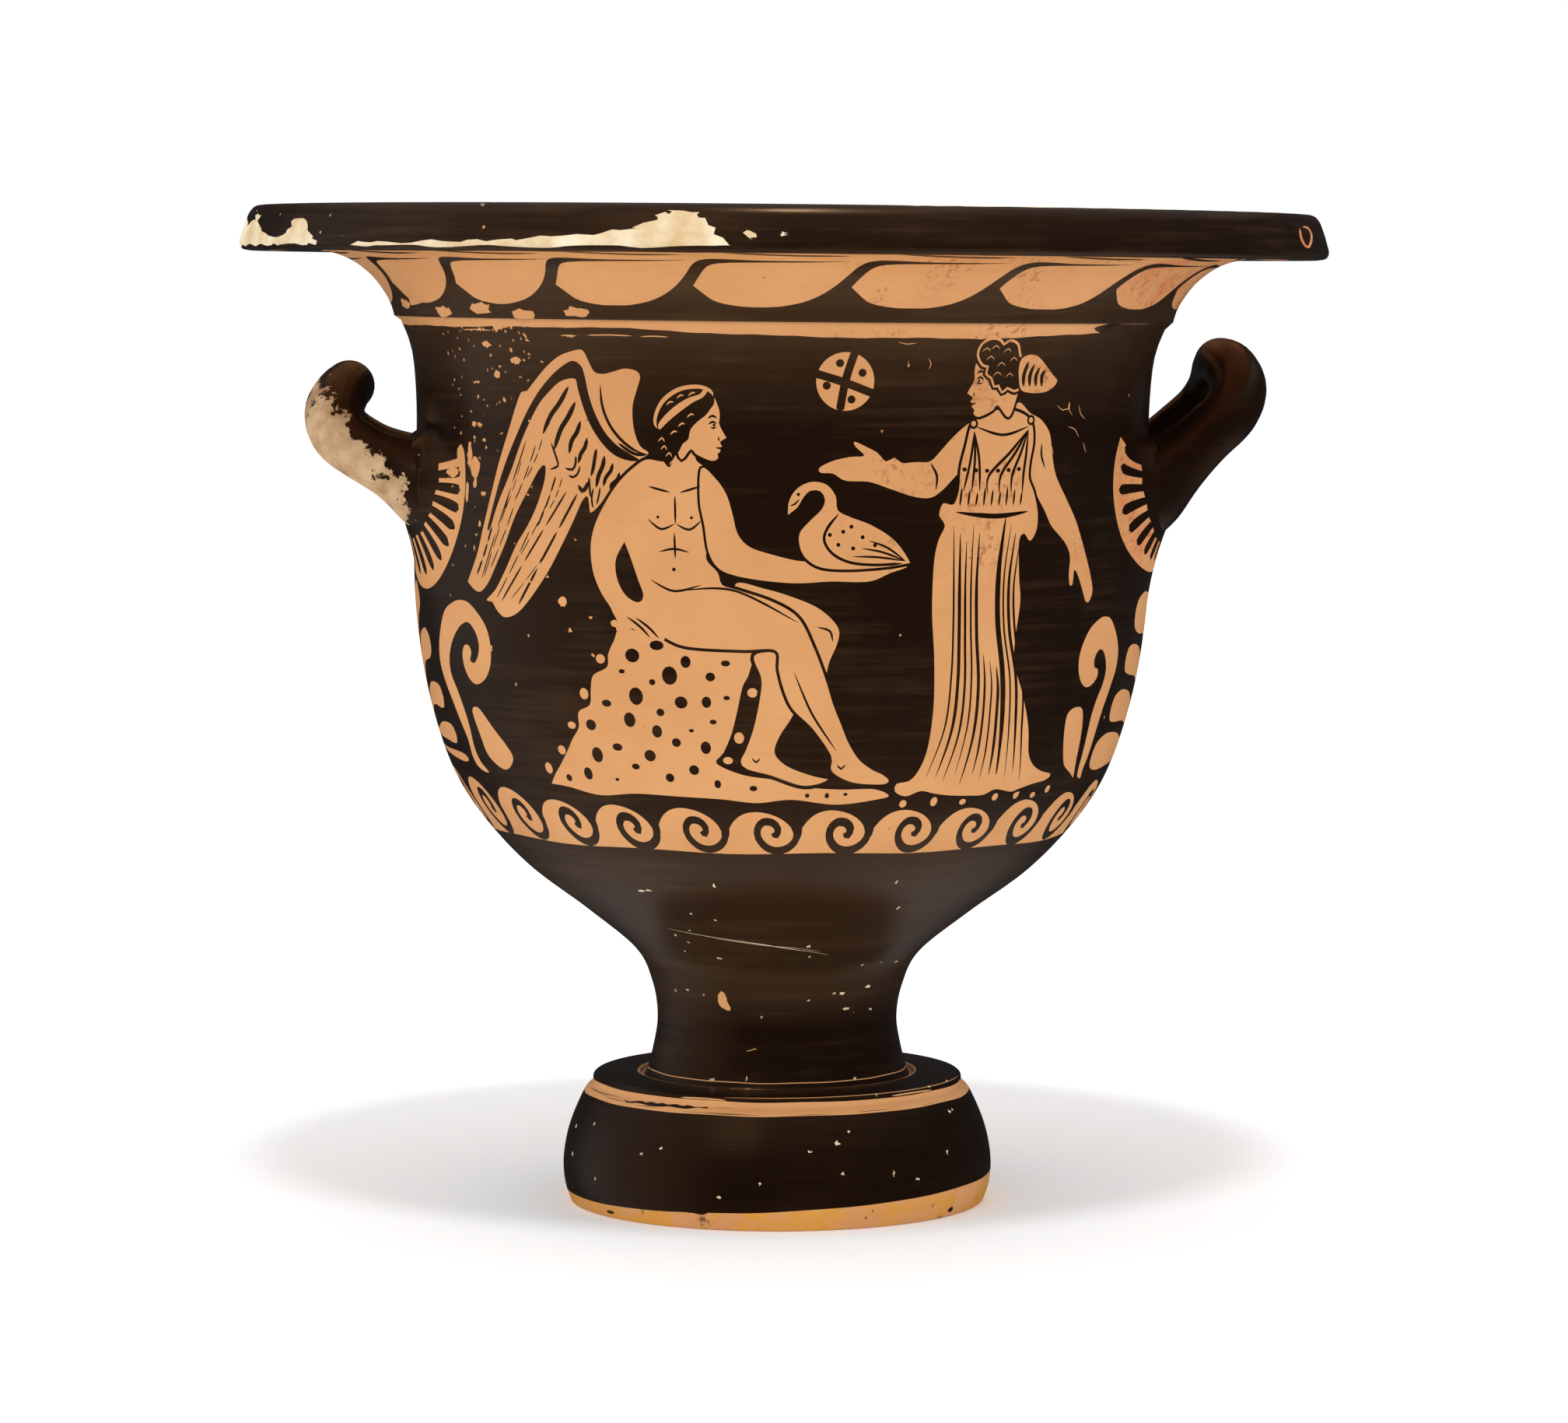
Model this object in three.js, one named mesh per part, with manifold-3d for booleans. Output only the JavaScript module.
// A red-figure bell krater: a wheel-thrown bowl for mixing wine with water, in fired clay, on a stemmed foot,
// with a flaring neck, an overhanging lip and two upturned loop handles.
// It is one fired piece: bowl, foot and handles are joined with slip and fired together.
// Frame: millimetres, +Z up, origin at the middle of the foot on the surface it stands on.
// The front faces -Y and the handles stand at +X and -X.
import * as THREE from "three";
import { mergeVertices } from "three/addons/utils/BufferGeometryUtils.js";
import Module from "manifold-3d";

// Driving dimensions
const HEIGHT = 332; // floor to the top of the lip
const LIP_RADIUS = 181.2; // widest point of the whole vessel
const LIP_DEPTH = 15; // height of the lip's outer face
const LIP_TOP_WIDTH = 14; // the flat ring on top of the lip and its rounded corner
const RIDGE_HEIGHT = 296; // small step that parts the neck from the body
const BELLY_RADIUS = 123;
const WALL = 7.2; // thickness of the body's wall
const FLOOR_HEIGHT = 92.5; // lowest point inside the bowl
const WAIST_HEIGHT = 61.7; // narrowest place of the stem
const WAIST_RADIUS = 40.3;
const FOOT_RADIUS = 72.2;
const FOOT_TOP = 43; // upper face of the foot's disc
const FOOT_HOLLOW_RADIUS = 55; // mouth of the hollow under the foot
const FOOT_HOLLOW_HEIGHT = 80; // the hollow runs up inside the stem
const LEAN_DEGREES = 0.55; // the bowl settled a little towards +X on its stem in the kiln

// Each handle is a rope of clay bent to a loop: two arms leave the wall side by side, climb outwards,
// and meet in a crown that turns up and in. Stations are [distance from the axis, half width, height].
const RIGHT_ARM = [
  [104, 33, 242.5],
  [119, 34, 243.5],
  [129, 34.5, 251],
  [137.6, 34.5, 258.8],
  [145.8, 33, 266.6],
  [149.4, 27, 274.3],
  [148.6, 14, 280.8],
  [147.2, 0, 282.6],
];
const LEFT_ARM = [
  [104, 33, 242.5],
  [119, 34, 242.8],
  [129.5, 34.5, 246.8],
  [139, 34.5, 251.2],
  [147, 33, 257],
  [149.4, 27, 264],
  [147, 14, 270],
  [144.6, 0, 272.6],
];
const ROPE_RADIUS = 9.4;
const CROWN_RADIUS = 8.4;
const CROWN_HALF_WIDTH = 26; // the rope thins from here to the middle of the crown
const ROOT_RADIUS = 16.5;
const ROOT_REACH = 8; // how far from the wall a root's flare runs out

// How finely the solid is cut
const WHEEL_SEGMENTS = 60;
const HANDLE_SIDES = 12;
const HANDLE_STEPS = 26;

// A smooth run through a few stations of [radius, height], cut into equal steps.
function smoothRun(stations, steps) {
  const points = stations.map(([radius, height]) => new THREE.Vector2(radius, height));
  return new THREE.SplineCurve(points).getPoints(steps);
}

function corner(radius, height) {
  return new THREE.Vector2(radius, height);
}

// The hollow under the foot, from the axis down to the ring that the vessel stands on.
function footHollow() {
  return smoothRun(
    [
      [0, FOOT_HOLLOW_HEIGHT],
      [15, FOOT_HOLLOW_HEIGHT - 2],
      [24, FOOT_HOLLOW_HEIGHT - 12],
      [27, 50],
      [36, 32],
      [48, 15],
      [FOOT_HOLLOW_RADIUS, 0],
    ],
    8,
  );
}

// A fat cushion moulding under a thin disc that carries the stem.
function foot() {
  return [
    ...smoothRun(
      [
        [FOOT_RADIUS - 2.6, 0],
        [FOOT_RADIUS - 0.7, 5.4],
        [FOOT_RADIUS, 12.6],
        [FOOT_RADIUS - 1, 20.5],
        [FOOT_RADIUS - 3.2, 28],
        [FOOT_RADIUS - 7, 36.4],
        [FOOT_RADIUS - 9.1, 38.9],
      ],
      7,
    ),
    corner(62.2, FOOT_TOP - 3.4),
    corner(62, FOOT_TOP - 0.9),
    corner(60.9, FOOT_TOP),
    corner(46.2, FOOT_TOP + 0.3),
    corner(45.6, FOOT_TOP - 0.8),
    corner(44.6, FOOT_TOP - 0.8),
  ];
}

// Stem, bowl and bell-shaped body up to the ridge, one sweep of the potter's hand.
function bell() {
  return smoothRun(
    [
      [44, FOOT_TOP + 0.6],
      [41.9, 51],
      [WAIST_RADIUS, WAIST_HEIGHT],
      [42.2, 73.3],
      [48, 84.8],
      [64.6, 98.5],
      [84.8, 113.7],
      [100.7, 131],
      [110.6, 147.9],
      [118, 171.8],
      [122, 196.8],
      [BELLY_RADIUS, 220.9],
      [122.5, 246],
      [122.3, 266],
      [123.8, 284],
      [127.6, RIDGE_HEIGHT - 1.4],
    ],
    19,
  );
}

// The neck flares from the ridge into the hollow underside of the lip.
function neck() {
  return smoothRun(
    [
      [129.8, RIDGE_HEIGHT],
      [132, RIDGE_HEIGHT + 6],
      [138.2, RIDGE_HEIGHT + 14],
      [147.6, RIDGE_HEIGHT + 19.8],
      [162, HEIGHT - LIP_DEPTH + 1.2],
      [LIP_RADIUS - 4, HEIGHT - LIP_DEPTH],
    ],
    7,
  );
}

function lip() {
  return [
    corner(LIP_RADIUS - 1, HEIGHT - LIP_DEPTH + 0.4),
    corner(LIP_RADIUS, HEIGHT - LIP_DEPTH + 2.4),
    corner(LIP_RADIUS - 1.6, HEIGHT - 7),
    corner(LIP_RADIUS - 3.2, HEIGHT - 2.6),
    corner(LIP_RADIUS - 4.8, HEIGHT - 0.6),
    corner(LIP_RADIUS - 6.4, HEIGHT),
  ];
}

// The inside of the flare and of the bowl, from the axis up to the lip.
function inside() {
  return smoothRun(
    [
      [0, FLOOR_HEIGHT],
      [26, FLOOR_HEIGHT + 1.4],
      [52, 100.5],
      [75.5, 116],
      [94, 137],
      [106.8, 166],
      [113.2, 193],
      [BELLY_RADIUS - WALL, 225],
      [115.6, 268],
      [119.4, RIDGE_HEIGHT - 9],
      [128.2, RIDGE_HEIGHT + 6],
      [139.6, HEIGHT - 15.5],
      [153.6, HEIGHT - 5.6],
      [LIP_RADIUS - LIP_TOP_WIDTH - 2, HEIGHT - 0.7],
    ],
    14,
  );
}

function turn(profile) {
  return new THREE.LatheGeometry(profile, WHEEL_SEGMENTS).rotateX(Math.PI / 2);
}

function filledBody() {
  return turn([...footHollow(), ...foot(), ...bell(), ...neck(), ...lip(), corner(0, HEIGHT)]);
}

// Everything the bowl holds, carried on above the lip so that the cut runs clear.
function cavity() {
  const mouth = LIP_RADIUS - LIP_TOP_WIDTH;
  const above = HEIGHT + 10;
  return turn([...inside(), corner(mouth, HEIGHT), corner(mouth, above), corner(0, above)]);
}

function loopPath(arm, side) {
  const points = arm.map(([out, half, height]) => new THREE.Vector3(side * out, half, height));
  const mirrored = points.slice(0, -1).reverse();
  const back = mirrored.map((p) => new THREE.Vector3(p.x, -p.y, p.z));
  return new THREE.CatmullRomCurve3([...points, ...back]);
}

// The rope is thinnest at the crown, and swells where it is pressed onto the wall.
function ropeRadius(point) {
  const fromWall = Math.max(0, Math.hypot(point.x, point.y) - BELLY_RADIUS);
  const flare = Math.max(0, 1 - fromWall / ROOT_REACH) ** 2;
  const crown = 1 - THREE.MathUtils.smoothstep(Math.abs(point.y), 0, CROWN_HALF_WIDTH);
  const rope = THREE.MathUtils.lerp(ROPE_RADIUS, CROWN_RADIUS, crown);
  return rope + (ROOT_RADIUS - rope) * flare;
}

function handle(arm, side) {
  const path = loopPath(arm, side);
  const frames = path.computeFrenetFrames(HANDLE_STEPS);
  const rope = new THREE.CylinderGeometry(1, 1, 1, HANDLE_SIDES, HANDLE_STEPS);
  const places = rope.getAttribute("position");
  for (let i = 0; i < places.count; i++) {
    const step = Math.round((places.getY(i) + 0.5) * HANDLE_STEPS);
    const centre = path.getPointAt(step / HANDLE_STEPS);
    const radius = ropeRadius(centre);
    const place = centre
      .clone()
      .addScaledVector(frames.normals[step], places.getX(i) * radius)
      .addScaledVector(frames.binormals[step], -places.getZ(i) * radius);
    places.setXYZ(i, place.x, place.y, place.z);
  }
  return rope;
}

// Everything above the stem leans a little towards +X, as one stiff piece.
function settle(geometry) {
  const places = geometry.getAttribute("position");
  for (let i = 0; i < places.count; i++) {
    const x = places.getX(i);
    const rise = places.getZ(i) - WAIST_HEIGHT;
    const share = THREE.MathUtils.smoothstep(rise, -14, 14);
    const lean = THREE.MathUtils.degToRad(LEAN_DEGREES) * share;
    places.setX(i, x * Math.cos(lean) + rise * Math.sin(lean));
    places.setZ(i, WAIST_HEIGHT + rise * Math.cos(lean) - x * Math.sin(lean));
  }
  return geometry;
}

const wasm = await Module();
wasm.setup();

function solidFrom(geometry) {
  geometry.deleteAttribute("normal");
  geometry.deleteAttribute("uv");
  const merged = mergeVertices(geometry, 1e-3);
  const vertProperties = merged.getAttribute("position").array;
  const triVerts = new Uint32Array(merged.index.array);
  return new wasm.Manifold(new wasm.Mesh({ numProp: 3, vertProperties, triVerts }));
}

function geometryFrom(solid) {
  const mesh = solid.getMesh();
  const geometry = new THREE.BufferGeometry();
  geometry.setAttribute("position", new THREE.BufferAttribute(mesh.vertProperties, 3));
  geometry.setIndex(new THREE.BufferAttribute(mesh.triVerts, 1));
  geometry.computeVertexNormals();
  return geometry;
}

// The bowl is hollowed last, so that the handles' roots end in the wall.
const vessel = solidFrom(filledBody())
  .add(solidFrom(handle(RIGHT_ARM, 1)))
  .add(solidFrom(handle(LEFT_ARM, -1)))
  .subtract(solidFrom(cavity()));

const blackGloss = new THREE.MeshStandardMaterial({ color: 0x1d1410, roughness: 0.32, metalness: 0 });
const krater = new THREE.Mesh(settle(geometryFrom(vessel)), blackGloss);
krater.name = "krater";

const part = new THREE.Group();
part.add(krater);

export default part;
